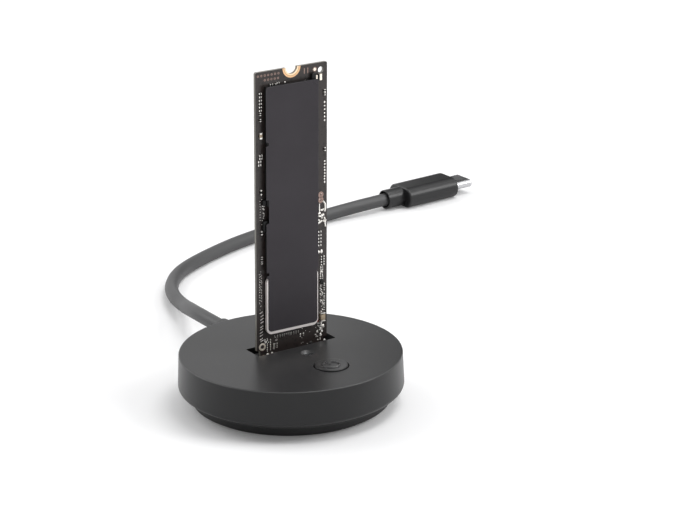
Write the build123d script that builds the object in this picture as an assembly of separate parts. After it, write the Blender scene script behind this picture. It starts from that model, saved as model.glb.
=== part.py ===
from build123d import *
import math
import os

# Docking station for a bare stick drive: a round puck with a slot, a power button,
# a captive lead with a flat plug, and the drive that stands in its socket.
# Millimetres. Origin on the desk under the middle of the puck, +Z up.
# The button faces -Y and the lead leaves towards +Y.

# Driving dimensions of the puck
puck_height = 14.0
wall_radius = 30.1
wall_draft = 0.4
top_edge_round = 0.4
skirt_bottom = 4.2
skirt_round = 1.3
cover_thickness = 2.0
wall_thickness = 2.3
cover_inner_round = 1.0
feature_x = 2.9

# Base plate and foot
ledge_inset = 1.7
ledge_thickness = 0.8
foot_inset = 2.9
foot_taper = 0.8
base_bottom = 0.8
base_floor_top = 3.0
spigot_height = 2.2
spigot_thickness = 1.6
spigot_gap = 0.2
foot_ring_margin = 1.2
foot_ring_width = 5.6
foot_ring_depth = 0.8
foot_ring_gap = 0.1
foot_ring_round = 0.4

# Screws that hold the puck together
cover_screw_count = 4
cover_screw_start = 45.0
cover_screw_head_radius = 1.8
cover_screw_head_height = 0.9
cover_screw_shank_radius = 0.95
cover_screw_length = 7.0
cover_boss_radius = 2.3
cover_boss_bottom = 5.4
screw_hole_gap = 0.05
screw_passage_gap = 0.2
driver_recess_width = 0.5
driver_recess_depth = 0.5

# Main circuit board
board_margin = 1.6
board_thickness = 1.2
board_bottom = 4.6
board_hole_gap = 0.4
board_screw_inset = 6.0
board_screw_angles = (-12.0, 62.0, 190.0)
board_screw_head_radius = 1.7
board_screw_head_height = 1.1
board_screw_shank_radius = 0.8
board_screw_length = 2.6
standoff_radius = 2.1

# Slot in the cover and the socket under it
slot_y = 4.4
slot_length = 24.4
slot_width = 6.4
slot_corner = 0.4
shroud_wall = 1.1
shroud_depth = 3.4
socket_end_gap = 0.7
socket_side_gap = 0.6
socket_recess = 1.6
socket_shoulder_step = 0.4
socket_shoulder_height = 2.2
pocket_gap = 0.18
pocket_lead_in = 0.35
contact_pitch = 0.5
contact_width = 0.22
contact_thickness = 0.16
contact_reach = 1.3

# Power button and its switch
button_from_edge = 14.55
button_radius = 4.6
button_gap = 0.15
button_dish = 0.12
button_edge_round = 0.2
button_flange_radius = 5.6
button_flange_thickness = 0.7
button_travel = 0.4
button_post_radius = 1.9
button_post_length = 1.1
button_post_round = 0.5
switch_size = 6.0
plunger_radius = 1.6
plunger_gap = 0.12
plunger_height = 1.0
plunger_depth = 0.8

# Status light
lamp_from_slot = 5.0
lamp_radius = 1.25
lamp_gap = 0.08
lamp_dish_radius = 1.9
lamp_dish_depth = 0.35
lamp_flange_radius = 1.9
lamp_flange_thickness = 0.8
lamp_foot_gap = 0.3
led_size = 1.6
led_height = 0.7

# Lead, its grommet and its plug
lead_x = 1.0
lead_below_top = 5.0
lead_diameter = 4.0
grommet_radius = 3.0
grommet_tip_radius = 2.6
grommet_nose = 6.9
grommet_tip_round = 0.5
neck_radius = 2.45
neck_gap = 0.1
grommet_flange_radius = 3.6
grommet_flange_thickness = 1.4
grommet_flange_gap = 0.25
inner_lead_diameter = 3.2
header_length = 10.0
header_width = 4.0
header_height = 3.6
header_margin = 5.2
plug_turn = 3.0
plug_rear_x = 110.8
plug_rear_from_nose = 81.6
plug_approach = 8.4
sleeve_radius = 3.05
sleeve_length = 6.3
sleeve_round = 0.6
sleeve_mouth_radius = 2.4
sleeve_mouth_depth = 0.8
plug_length = 19.4
plug_width = 11.6
plug_height = 6.4
plug_edge_round = 0.5
shell_width = 8.3
shell_height = 2.5
shell_length = 6.6
shell_wall = 0.3
insert_wall = 0.55
insert_recess = 0.6

# The stick drive
drive_width = 22.0
drive_length = 80.0
drive_thickness = 0.8
drive_depth = 4.0
drive_lean = 0.85
drive_corner = 0.5
tongue_width = 19.85
tongue_height = 4.0
key_offset = 6.125
key_width = 1.2
key_height = 3.5
key_rib_width = 0.8
notch_radius = 1.75
notch_ring_width = 1.0
plating_thickness = 0.05
tooling_hole_radius = 0.85
tooling_hole_inset = 2.0
finger_pitch = 0.5
finger_width = 0.35
finger_height = 2.0
finger_lift = 0.5
# Each span is where a package starts and ends, as shares of the drive's length above the cover
chip_x = -0.6
chip_width = 15.2
chip_thickness = 1.3
controller_span = (0.064, 0.262)
memory_span = (0.292, 0.466)
flash_spans = ((0.526, 0.732), (0.742, 0.947))
lid_width = 16.0
lid_margin = 0.4
lid_thickness = 0.9
lid_corner = 1.6
label_width = 16.1
label_thickness = 0.12
label_inset = 0.6
label_corner = 0.6

# Parts on both boards
bridge_size = 7.6
bridge_height = 0.9
power_size = 4.0
choke_size = 5.0
choke_height = 2.4
crystal_length = 3.2
crystal_width = 2.5
chip_part_length = 1.6
chip_part_width = 0.8
chip_part_pitch = 1.9
drive_part_length = 1.0
drive_part_width = 0.5
drive_part_pitch = 2.6
drive_choke_length = 2.2
drive_choke_width = 1.1

# Route of the lead from the grommet towards the plug, chosen by eye
# Each point is (x, how far past the grommet's tip, share of the lead's height above its rest on the desk)
lead_points = [
    (1.0, 0.0, 1.0),
    (1.0, 10.0, 1.0),
    (4.0, 20.6, 0.7),
    (8.2, 32.5, 0.32),
    (11.2, 43.6, 0.07),
    (15.0, 55.0, 0.0),
    (23.2, 63.8, 0.0),
    (35.2, 71.0, 0.0),
    (52.8, 77.4, 0.0),
    (72.0, 80.6, 0.0),
    (91.0, 81.5, 0.03),
]

top_radius = wall_radius - wall_draft
ledge_radius = wall_radius - ledge_inset
foot_radius = wall_radius - foot_inset
foot_bottom_radius = foot_radius - foot_taper
foot_ring_outer = foot_bottom_radius - foot_ring_margin
foot_ring_inner = foot_ring_outer - foot_ring_width
cover_screw_circle = (foot_ring_outer + foot_ring_inner) / 2
cavity_radius = wall_radius - wall_thickness
spigot_radius = cavity_radius - spigot_gap
board_radius = spigot_radius - spigot_thickness - board_margin
board_screw_circle = board_radius - board_screw_inset
header_y = board_radius - header_margin - header_width / 2
button_y = button_from_edge - top_radius
lamp_y = slot_y - slot_width / 2 - lamp_from_slot
board_top = board_bottom + board_thickness
ceiling = puck_height - cover_thickness
socket_length = slot_length - 2 * socket_end_gap
socket_width = slot_width - 2 * socket_side_gap
socket_shoulder_width = socket_width + 2 * socket_shoulder_step
socket_top = puck_height - socket_recess
drive_bottom = puck_height - drive_depth
shown_length = drive_length - drive_depth
foot_groove_roof = 2 * foot_ring_depth
post_bottom = ceiling - button_flange_thickness - button_post_length
switch_height = post_bottom - plunger_height - board_top
lead_height = puck_height - lead_below_top
grommet_reach = wall_radius + grommet_nose
lead_rest = lead_diameter / 2
lead_route = [
    (x, grommet_reach + y, lead_rest + share * (lead_height - lead_rest))
    for x, y, share in lead_points
]
plug_rear = (plug_rear_x, grommet_reach + plug_rear_from_nose, plug_height / 2)
plug_start = (
    plug_rear[0] - plug_approach * math.cos(math.radians(plug_turn)),
    plug_rear[1] - plug_approach * math.sin(math.radians(plug_turn)),
    plug_rear[2],
)
lead_end = (
    plug_rear[0] + sleeve_mouth_depth * math.cos(math.radians(plug_turn)),
    plug_rear[1] + sleeve_mouth_depth * math.sin(math.radians(plug_turn)),
    plug_rear[2],
)
lead_route += [plug_start, lead_end]


def at(x, y, z=0.0):
    """A place in the puck's frame."""
    return Location((x, y, z))


def block(width, depth, height, x, y, z):
    """A block standing on height z, centred on x and y."""
    bottom = (Align.CENTER, Align.CENTER, Align.MIN)
    return at(x, y, z) * Box(width, depth, height, align=bottom)


def drum(radius, height, x, y, z):
    """A round post standing on height z."""
    bottom = (Align.CENTER, Align.CENTER, Align.MIN)
    return at(x, y, z) * Cylinder(radius, height, align=bottom)


def ring_places(circle, angles):
    """Points on a circle round the puck's axis."""
    return [
        (circle * math.cos(math.radians(a)), circle * math.sin(math.radians(a)))
        for a in angles
    ]


def cover_screw_places():
    step = 360 / cover_screw_count
    angles = [cover_screw_start + step * i for i in range(cover_screw_count)]
    return ring_places(cover_screw_circle, angles)


def board_screw_places():
    return ring_places(board_screw_circle, board_screw_angles)


def turned(points, rounds=()):
    """A solid of revolution from a half profile of (radius, height) points."""
    profile = make_face(Plane.XZ * Polyline(*points, close=True))
    for place, radius in rounds:
        corner = min(
            profile.vertices(),
            key=lambda v: (v.X - place[0]) ** 2 + (v.Z - place[1]) ** 2,
        )
        profile = fillet(corner, radius)
    return revolve(profile, Axis.Z)


def slot_outline(grow=0.0):
    """The drive slot's outline, larger all round by grow."""
    return at(feature_x, slot_y) * RectangleRounded(
        slot_length + 2 * grow, slot_width + 2 * grow, slot_corner + grow
    )


def lead_notch(gap, top):
    """The upright notch in the back wall that the grommet's neck sits in."""
    radius = neck_radius + gap
    reach = wall_radius + 1
    arch = Plane.XZ * (
        Pos(lead_x, lead_height) * Circle(radius)
        + Pos(lead_x, (lead_height + skirt_bottom) / 2 - 1)
        * Rectangle(2 * radius, lead_height - skirt_bottom + 2)
    )
    notch = extrude(arch, -reach)
    below = block(3 * radius, 2 * reach, top + 20, lead_x, 0, top)
    return notch - below - block(60, cavity_radius, 60, 0, cavity_radius / 2 - 5, -20)


def top_cover():
    """Moulded cover: disc, drafted skirt, slot with shroud, holes and screw bosses."""
    outline = [
        (0, puck_height),
        (top_radius, puck_height),
        (wall_radius, skirt_bottom),
        (cavity_radius, skirt_bottom),
        (cavity_radius, ceiling),
        (0, ceiling),
    ]
    rounds = [
        ((top_radius, puck_height), top_edge_round),
        ((wall_radius, skirt_bottom), skirt_round),
        ((cavity_radius, ceiling), cover_inner_round),
    ]
    cover = turned(outline, rounds)
    shroud = at(0, 0, ceiling - shroud_depth) * extrude(
        slot_outline(shroud_wall), shroud_depth
    )
    cover += shroud
    boss_height = ceiling - cover_boss_bottom
    pilot = cover_screw_shank_radius + screw_hole_gap
    for x, y in cover_screw_places():
        cover += drum(cover_boss_radius, boss_height, x, y, cover_boss_bottom)
    for x, y in cover_screw_places():
        cover -= drum(pilot, boss_height - 1, x, y, cover_boss_bottom)
    cover -= extrude(slot_outline(), puck_height + 1)
    cover -= drum(button_radius + button_gap, 20, feature_x, button_y, 0)
    cover -= drum(lamp_radius + lamp_gap, 20, feature_x, lamp_y, 0)
    dish = at(feature_x, lamp_y, puck_height - lamp_dish_depth) * Cone(
        lamp_radius + lamp_gap,
        lamp_dish_radius,
        lamp_dish_depth,
        align=(Align.CENTER, Align.CENTER, Align.MIN),
    )
    cover -= dish
    cover -= lead_notch(neck_gap, lead_height + neck_radius + 1)
    return cover


def base_plate():
    """Moulded base: tapered foot, ledge under the skirt, spigot, posts and a tab under the lead."""
    spigot_top = skirt_bottom + spigot_height
    spigot_inner = spigot_radius - spigot_thickness
    outline = [
        (0, base_bottom),
        (foot_bottom_radius, base_bottom),
        (foot_radius, skirt_bottom - ledge_thickness),
        (ledge_radius, skirt_bottom - ledge_thickness),
        (ledge_radius, skirt_bottom),
        (spigot_radius, skirt_bottom),
        (spigot_radius, spigot_top),
        (spigot_inner, spigot_top),
        (spigot_inner, base_floor_top),
        (0, base_floor_top),
    ]
    rounds = [
        ((foot_bottom_radius, base_bottom), 0.5),
        ((ledge_radius, skirt_bottom - ledge_thickness), 0.3),
    ]
    base = turned(outline, rounds)
    groove = drum(foot_ring_outer, foot_groove_roof, 0, 0, 0)
    groove -= drum(foot_ring_inner, foot_groove_roof, 0, 0, 0)
    base -= groove
    for x, y in cover_screw_places():
        base += drum(cover_boss_radius + 0.4, cover_boss_bottom - base_floor_top, x, y, base_floor_top)
    head_seat = foot_groove_roof + cover_screw_head_height
    for x, y in cover_screw_places():
        base -= drum(cover_screw_head_radius + screw_passage_gap, head_seat, x, y, 0)
        base -= drum(cover_screw_shank_radius + screw_passage_gap, 20, x, y, 0)
    pilot = board_screw_shank_radius + screw_hole_gap
    for x, y in board_screw_places():
        base += drum(standoff_radius, board_bottom - base_floor_top, x, y, base_floor_top)
        base -= drum(pilot, board_screw_length, x, y, board_top - board_screw_length)
    flange_cut = grommet_flange_radius + grommet_flange_gap
    base -= block(2 * flange_cut, 2 * spigot_thickness + 2, 20, lead_x, spigot_radius, skirt_bottom)
    tab = extrude(
        Plane.XZ
        * (
            Pos(lead_x, (lead_height + skirt_bottom) / 2)
            * Rectangle(2 * (neck_radius - 0.05), lead_height - skirt_bottom)
            - Pos(lead_x, lead_height) * Circle(neck_radius + neck_gap)
        ),
        -wall_radius,
    )
    tab &= drum(ledge_radius, 20, 0, 0, 0) - drum(cavity_radius, 20, 0, 0, 0)
    return base + tab


def foot_ring():
    """Soft ring let into the base, which the puck stands on."""
    inner = foot_ring_inner + foot_ring_gap
    outer = foot_ring_outer - foot_ring_gap
    outline = [(inner, 0), (outer, 0), (outer, foot_groove_roof), (inner, foot_groove_roof)]
    rounds = [((inner, 0), foot_ring_round), ((outer, 0), foot_ring_round)]
    return turned(outline, rounds)


def machine_screw(head_radius, head_height, shank_radius, length):
    """Pan-head screw, head up, with the underside of its head at height 0."""
    head = turned(
        [(0, 0), (head_radius, 0), (head_radius, head_height), (0, head_height)],
        [((head_radius, head_height), head_height * 0.6)],
    )
    recess = block(
        2 * head_radius * 0.6, driver_recess_width, driver_recess_depth, 0, 0,
        head_height - driver_recess_depth,
    )
    head -= recess + Rot(0, 0, 90) * recess
    return head + drum(shank_radius, length, 0, 0, -length)


def cover_screws():
    """Four screws driven up through the base into the cover's bosses."""
    screw = machine_screw(
        cover_screw_head_radius, cover_screw_head_height, cover_screw_shank_radius, cover_screw_length
    )
    seat = foot_groove_roof + cover_screw_head_height
    return Compound([at(x, y, seat) * Rot(180, 0, 0) * screw for x, y in cover_screw_places()])


def board_screws():
    """Three screws that hold the circuit board on its standoffs."""
    screw = machine_screw(
        board_screw_head_radius, board_screw_head_height, board_screw_shank_radius, board_screw_length
    )
    return Compound([at(x, y, board_top) * screw for x, y in board_screw_places()])


def main_board():
    """Round circuit board, notched for the cover bosses and bored for its screws."""
    board = drum(board_radius, board_thickness, 0, 0, board_bottom)
    for x, y in cover_screw_places():
        board -= drum(cover_boss_radius + 0.4 + board_hole_gap, 20, x, y, 0)
    for x, y in board_screw_places():
        board -= drum(board_screw_shank_radius + screw_passage_gap, 20, x, y, 0)
    return board


def drive_socket():
    """Upright edge socket with a keyed pocket, a lead-in and a wider shoulder on the board."""
    body = block(socket_length, socket_width, socket_top - board_top, feature_x, slot_y, board_top)
    body = fillet(body.edges().filter_by(Axis.Z), 0.4)
    shoulder = block(
        socket_length - 1, socket_shoulder_width, socket_shoulder_height, feature_x, slot_y, board_top
    )
    body += shoulder
    pocket_length = tongue_width + 2 * pocket_gap
    pocket_width = drive_thickness + 2 * pocket_gap
    body -= block(pocket_length, pocket_width, 20, feature_x, slot_y, drive_bottom)
    mouth = Plane((feature_x, slot_y, socket_top)) * Rectangle(
        pocket_length + 2 * pocket_lead_in, pocket_width + 2 * pocket_lead_in
    )
    throat = Plane((feature_x, slot_y, socket_top - pocket_lead_in)) * Rectangle(
        pocket_length, pocket_width
    )
    body -= loft([throat, mouth])
    rib_height = key_height - 0.4
    rib = block(
        key_rib_width, pocket_width + 0.2, rib_height, feature_x + key_offset, slot_y, drive_bottom
    )
    return body + rib


def contact_offsets(pitch, length, key_from_centre):
    """Offsets of contacts along a row, leaving out those in the way of the key."""
    count = int((length / 2 - 0.4) / pitch)
    offsets = [pitch * i for i in range(-count, count + 1)]
    return [x for x in offsets if abs(x - key_from_centre) > key_width]


def socket_contacts():
    """Two rows of solder tails that leave the socket's shoulder and turn along the board."""
    side = socket_shoulder_width / 2
    tails = []
    for x in contact_offsets(contact_pitch * 2, tongue_width, key_offset):
        for sign in (1, -1):
            y = slot_y + sign * (side + contact_reach / 2)
            tails.append(
                block(contact_width, contact_reach, contact_thickness, feature_x + x, y, board_top)
            )
    return Compound(tails)


def board_place(share_x, share_y):
    """A place on the round board, as shares of its radius."""
    return share_x * board_radius, share_y * board_radius


def bridge_chip():
    """Square controller package with a chamfered first corner."""
    x, y = board_place(-0.508, -0.365)
    chip = block(bridge_size, bridge_size, bridge_height, x, y, board_top)
    corner = chip.edges().filter_by(Axis.Z).sort_by(Axis.X)[0]
    return chamfer(corner, bridge_size / 10)


def power_chip():
    x, y = board_place(0.553, -0.348)
    return block(power_size, power_size, bridge_height, x, y, board_top)


def power_inductor():
    """Moulded choke with rounded corners."""
    x, y = board_place(-0.656, 0.213)
    choke = block(choke_size, choke_size, choke_height, x, y, board_top)
    return fillet(choke.edges().filter_by(Axis.Z), choke_size / 6)


def crystal_can():
    x, y = board_place(-0.213, -0.434)
    can = block(crystal_length, crystal_width, bridge_height, x, y, board_top)
    return fillet(can.edges().filter_by(Axis.Z), crystal_width / 5)


def board_capacitors():
    """Small chip capacitors in rows beside the larger parts."""
    parts = []
    for count, (x, y) in (
        (5, board_place(-0.43, -0.676)),
        (3, board_place(0.426, -0.189)),
        (10, board_place(-0.303, 0.459)),
    ):
        for i in range(count):
            parts.append(
                block(
                    chip_part_width, chip_part_length, chip_part_width,
                    x + i * chip_part_pitch, y, board_top,
                )
            )
    return Compound(parts)


def push_switch():
    """Switch body with a round well for its plunger."""
    body = block(switch_size, switch_size, switch_height, feature_x, button_y, board_top)
    body = fillet(body.edges().filter_by(Axis.Z), 0.4)
    well = plunger_depth + button_travel + 0.2
    return body - drum(
        plunger_radius + plunger_gap, well, feature_x, button_y, board_top + switch_height - well
    )


def switch_plunger():
    """Plunger that the button's post presses into the switch."""
    bottom = board_top + switch_height - plunger_depth
    return drum(plunger_radius, plunger_depth + plunger_height, feature_x, button_y, bottom)


def power_button():
    """Round cap, dished on top, with a retaining flange and a post down to the plunger."""
    flange_bottom = ceiling - button_flange_thickness
    sphere_radius = (button_radius**2 + button_dish**2) / (2 * button_dish)
    outline = [
        (0, post_bottom),
        (button_post_radius, post_bottom),
        (button_post_radius, flange_bottom),
        (button_flange_radius, flange_bottom),
        (button_flange_radius, ceiling),
        (button_radius, ceiling),
        (button_radius, puck_height),
        (0, puck_height),
    ]
    rounds = [
        ((button_radius, puck_height), button_edge_round),
        ((button_post_radius, flange_bottom), button_post_round),
    ]
    cap = turned(outline, rounds)
    cap -= Pos(0, 0, puck_height - button_dish + sphere_radius) * Sphere(sphere_radius)
    return at(feature_x, button_y) * cap


def light_pipe():
    """Clear post with a domed tip in the cover's dish and a flange under the ceiling."""
    foot = board_top + led_height + lamp_foot_gap
    tip = puck_height - lamp_dish_depth
    flange_bottom = ceiling - lamp_flange_thickness
    outline = [
        (0, foot),
        (lamp_radius, foot),
        (lamp_radius, flange_bottom),
        (lamp_flange_radius, flange_bottom),
        (lamp_flange_radius, ceiling),
        (lamp_radius, ceiling),
        (lamp_radius, tip),
        (0, tip),
    ]
    return at(feature_x, lamp_y) * turned(outline, [((lamp_radius, tip), 0.3)])


def status_led():
    return block(led_size, led_size * 0.5, led_height, feature_x, lamp_y, board_top)


def lead_header():
    """Board connector that the lead's inner end goes into."""
    header = block(header_length, header_width, header_height, lead_x, header_y, board_top)
    return chamfer(header.edges().group_by(Axis.Z)[-1].filter_by(Axis.X), 0.4)


def strain_relief():
    """Soft grommet: inner flange, neck in the wall notch and a tapered nose outside."""
    inner_end = cavity_radius - grommet_flange_thickness - grommet_flange_gap
    outline = [
        (0, inner_end),
        (neck_radius, inner_end),
        (neck_radius, wall_radius + 0.05),
        (grommet_radius, wall_radius + 0.05),
        (grommet_tip_radius, grommet_reach),
        (0, grommet_reach),
    ]
    nose = turned(outline, [((grommet_tip_radius, grommet_reach), grommet_tip_round)])
    along_lead = at(lead_x, 0, lead_height) * Rot(-90, 0, 0)
    flange = along_lead * drum(grommet_flange_radius, cavity_radius - inner_end, 0, 0, inner_end)
    room = ceiling - cover_inner_round - skirt_bottom - grommet_flange_gap
    flange &= drum(
        cavity_radius - grommet_flange_gap, room, 0, 0, skirt_bottom + grommet_flange_gap
    )
    return along_lead * nose + flange


def inner_lead():
    """Short length of the lead between the grommet and its board connector."""
    start = Vector(lead_x, cavity_radius - grommet_flange_thickness - grommet_flange_gap, lead_height)
    end = Vector(lead_x, header_y + header_width / 2, board_top + header_height / 2)
    line = Line(start, end)
    tube = sweep(Plane(origin=start, z_dir=end - start) * Circle(inner_lead_diameter / 2), line)
    depth = start.Y - end.Y
    keep = block(header_length, depth, 20, lead_x, end.Y + depth / 2, 0)
    tall = extrude(Plane(origin=end - (start - end), z_dir=start - end) * Circle(inner_lead_diameter / 2), 3 * depth * 1.2)
    return (tube + tall) & keep


def route_radii(points):
    """Arc radius at each inner corner of the lead's route."""
    radii = []
    for before, here, after in zip(points, points[1:], points[2:]):
        a = Vector(*here) - Vector(*before)
        b = Vector(*after) - Vector(*here)
        half = math.radians(a.get_angle(b)) / 2
        radii.append(0.45 * min(a.length, b.length) / math.tan(half))
    return radii


def lead_tube():
    """The free lead: straight runs joined by tangent arcs."""
    radii = route_radii(lead_route)
    print("lead radii", [round(r, 1) for r in radii])
    path = FilletPolyline(*lead_route, radius=radii)
    start = Vector(*lead_route[0])
    section = Plane(origin=start, z_dir=path % 0) * Circle(lead_diameter / 2)
    tube = sweep(section, path)
    expected = math.pi * (lead_diameter / 2) ** 2 * path.length
    print("lead length", round(path.length, 1), "volume ratio", round(tube.volume / expected, 4))
    return tube


def plug_place():
    """Where the plug's rear end is, looking along the plug."""
    return Location(plug_rear, (0, 0, plug_turn)) * Location((0, 0, 0), (0, 90, 0))


def stadium(width, height, radius_share=1.0):
    """A flat section with rounded sides, its width along Y and its height along the plug's X."""
    radius = height / 2 * radius_share * 0.999
    return RectangleRounded(height, width, radius)


def plug_sleeve():
    """Round sleeve with a shallow mouth where the lead enters the plug."""
    outline = [
        (0, sleeve_mouth_depth),
        (sleeve_mouth_radius, sleeve_mouth_depth),
        (sleeve_mouth_radius, 0),
        (sleeve_radius, 0),
        (sleeve_radius, sleeve_length),
        (0, sleeve_length),
    ]
    bell = turned(outline, [((sleeve_radius, 0), sleeve_round)])
    return plug_place() * bell


def plug_body():
    """Flat moulded grip with rounded sides and softened ends."""
    grip = extrude(Pos(0, 0, sleeve_length) * stadium(plug_width, plug_height), plug_length)
    ends = grip.edges().filter_by(lambda e: abs(e.center().Z - sleeve_length) < 0.01)
    grip = fillet(ends, plug_edge_round)
    front = sleeve_length + plug_length
    ends = grip.edges().filter_by(lambda e: abs(e.center().Z - front) < 0.01)
    return plug_place() * fillet(ends, plug_edge_round)


def plug_shell():
    """Thin metal shell that goes into the socket of the machine."""
    front = sleeve_length + plug_length
    outer = extrude(Pos(0, 0, front) * stadium(shell_width, shell_height), shell_length)
    inner = extrude(
        Pos(0, 0, front) * stadium(shell_width - 2 * shell_wall, shell_height - 2 * shell_wall),
        shell_length,
    )
    return plug_place() * (outer - inner)


def plug_insert():
    """Plastic liner inside the shell, open where the other connector's tongue goes."""
    front = sleeve_length + plug_length
    width = shell_width - 2 * shell_wall
    height = shell_height - 2 * shell_wall
    liner = extrude(Pos(0, 0, front) * stadium(width, height), shell_length - insert_recess)
    mouth = extrude(
        Pos(0, 0, front + 1.4) * Rectangle(height - 2 * insert_wall, width - 2 * insert_wall),
        shell_length,
    )
    return plug_place() * (liner - mouth)


def drive_face():
    """Outline of the drive's board, seen from the front, with its foot at height 0."""
    face = Pos(0, drive_length / 2) * RectangleRounded(drive_width, drive_length, drive_corner)
    side = (drive_width - tongue_width) / 2
    for sign in (1, -1):
        x = sign * (drive_width - side) / 2
        face -= Pos(x, tongue_height / 2) * Rectangle(side, tongue_height)
    face -= Pos(key_offset, key_height / 2 - key_width / 4) * Rectangle(
        key_width, key_height - key_width / 2
    )
    face -= Pos(key_offset, key_height - key_width / 2) * Circle(key_width / 2)
    face -= Pos(0, drive_length) * Circle(notch_radius)
    hole_x = drive_width / 2 - tooling_hole_inset
    face -= Pos(hole_x, drive_length - tooling_hole_inset) * Circle(tooling_hole_radius)
    return face


def drive_front(depth):
    """Plane at the drive's foot, depth in front of its board, leaning sideways on one foot corner."""
    lean = math.radians(drive_lean)
    y = slot_y - drive_thickness / 2 - depth
    z = drive_bottom + tongue_width / 2 * math.sin(lean)
    across = (math.cos(lean), 0, -math.sin(lean))
    return Plane(origin=(feature_x, y, z), x_dir=across, z_dir=(0, -1, 0))


def drive_board():
    """Keyed circuit board of the stick drive."""
    return extrude(drive_front(0) * drive_face(), -drive_thickness)


def on_drive(width, length, thickness, x, start, depth=0.0, corner=0.0):
    """A flat piece on the drive's front, from height start above its foot."""
    outline = Rectangle(width, length)
    if corner > 0:
        outline = RectangleRounded(width, length, corner)
    return extrude(drive_front(depth) * (Pos(x, start + length / 2) * outline), thickness)


def drive_contacts():
    """Gold fingers along both faces of the drive's foot."""
    fingers = []
    for x in contact_offsets(finger_pitch * 2, tongue_width, key_offset):
        finger = on_drive(finger_width, finger_height, plating_thickness, x, finger_lift)
        fingers.append(finger)
        fingers.append(finger.moved(at(0, drive_thickness + plating_thickness)))
    return Compound(fingers)


def notch_ring():
    """Plated half ring round the fixing notch, on the front face and the back."""
    ring = Circle(notch_radius + notch_ring_width) - Circle(notch_radius)
    half = ring & (Pos(0, -notch_radius * 2) * Rectangle(20, notch_radius * 4))
    front = extrude(drive_front(0) * (Pos(0, drive_length) * half), plating_thickness)
    return Compound([front, front.moved(at(0, drive_thickness + plating_thickness))])


def from_cover(height):
    """Height above the drive's foot of a place measured from the cover's face."""
    return height + drive_depth


def package(span, thickness=chip_thickness):
    """A moulded package on the drive, over a span of its length above the cover."""
    start, end = (share * shown_length for share in span)
    return on_drive(chip_width, end - start, thickness, chip_x, from_cover(start))


def flash_chips():
    """Two flash packages under the label."""
    return Compound([package(span) for span in flash_spans])


def memory_chip():
    return package(memory_span)


def drive_controller():
    return package(controller_span, chip_thickness - lid_thickness)


def controller_lid():
    """Bright metal lid on the controller, whose edge shows round the label."""
    start, end = (share * shown_length for share in controller_span)
    length = end - start + 2 * lid_margin
    depth = chip_thickness - lid_thickness
    place = from_cover(start - lid_margin)
    return on_drive(lid_width, length, lid_thickness, chip_x, place, depth, lid_corner)


def drive_label():
    """Plain label over the packages, narrower where it lies inside the lid's edge."""
    lid_start = controller_span[0] * shown_length - lid_margin
    lid_end = controller_span[1] * shown_length + lid_margin
    end = flash_spans[1][1] * shown_length + label_thickness
    start = lid_start + label_inset
    narrow = on_drive(
        lid_width - 2 * label_inset, lid_end - start + 1, label_thickness,
        chip_x, from_cover(start), chip_thickness, lid_corner - label_inset,
    )
    wide = on_drive(
        label_width, end - lid_end, label_thickness,
        chip_x, from_cover(lid_end), chip_thickness, label_corner,
    )
    return narrow + wide


def drive_passives():
    """Rows of small parts along both edges of the drive and below its controller."""
    left = drive_part_length + drive_part_width - drive_width / 2
    right = drive_width / 2 - drive_part_length
    first = controller_span[0] * shown_length + drive_part_pitch
    count = int((flash_spans[1][1] * shown_length - first) / drive_part_pitch)
    places = []
    for i in range(count):
        height = first + drive_part_pitch * i
        if i % 5 != 4:
            places.append((left, height))
        if i % 6 != 3:
            places.append((right, height))
    low = controller_span[0] * shown_length / 3
    places += [(chip_x + (i - 4) * chip_width / 10, low) for i in range(9)]
    return Compound(
        [
            on_drive(drive_part_width, drive_part_length, drive_part_width, x, from_cover(height))
            for x, height in places
        ]
    )


def drive_inductors():
    """Chokes of the drive's supply, beside the memory and by the controller's lower corner."""
    x = drive_width / 2 - drive_part_length - drive_part_width - drive_choke_width / 2
    low = controller_span[0] * shown_length
    middle = memory_span[1] * shown_length
    return Compound(
        [
            on_drive(drive_choke_width, drive_choke_length, drive_part_length, x, from_cover(start))
            for start in (low, middle, middle + 1.4 * drive_choke_length)
        ]
    )


nodes = {
    "top_cover": top_cover,
    "base_plate": base_plate,
    "foot_ring": foot_ring,
    "cover_screws": cover_screws,
    "board_screws": board_screws,
    "main_board": main_board,
    "drive_socket": drive_socket,
    "socket_contacts": socket_contacts,
    "bridge_chip": bridge_chip,
    "power_chip": power_chip,
    "power_inductor": power_inductor,
    "crystal_can": crystal_can,
    "board_capacitors": board_capacitors,
    "push_switch": push_switch,
    "switch_plunger": switch_plunger,
    "power_button": power_button,
    "light_pipe": light_pipe,
    "status_led": status_led,
    "lead_header": lead_header,
    "inner_lead": inner_lead,
    "strain_relief": strain_relief,
    "lead": lead_tube,
    "plug_sleeve": plug_sleeve,
    "plug_body": plug_body,
    "plug_shell": plug_shell,
    "plug_insert": plug_insert,
    "drive_board": drive_board,
    "drive_contacts": drive_contacts,
    "notch_ring": notch_ring,
    "flash_chips": flash_chips,
    "memory_chip": memory_chip,
    "drive_controller": drive_controller,
    "controller_lid": controller_lid,
    "drive_label": drive_label,
    "drive_passives": drive_passives,
    "drive_inductors": drive_inductors,
}

os.makedirs("parts", exist_ok=True)
for name, make in nodes.items():
    export_step(make(), f"parts/{name}.step")
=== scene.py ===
# %% [markdown]
# # A puck-shaped dock with a bare drive standing in it
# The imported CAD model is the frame: every piece made here is in its metres and
# in its axes. The puck stands on the desk round the origin, the button faces -Y,
# and the lead leaves the back wall towards +Y. Loading it comes first, because
# all the later places are read from its nodes.

# %% Load the frame
import bpy
import bmesh
import math
import random
from mathutils import Matrix, Vector


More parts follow.
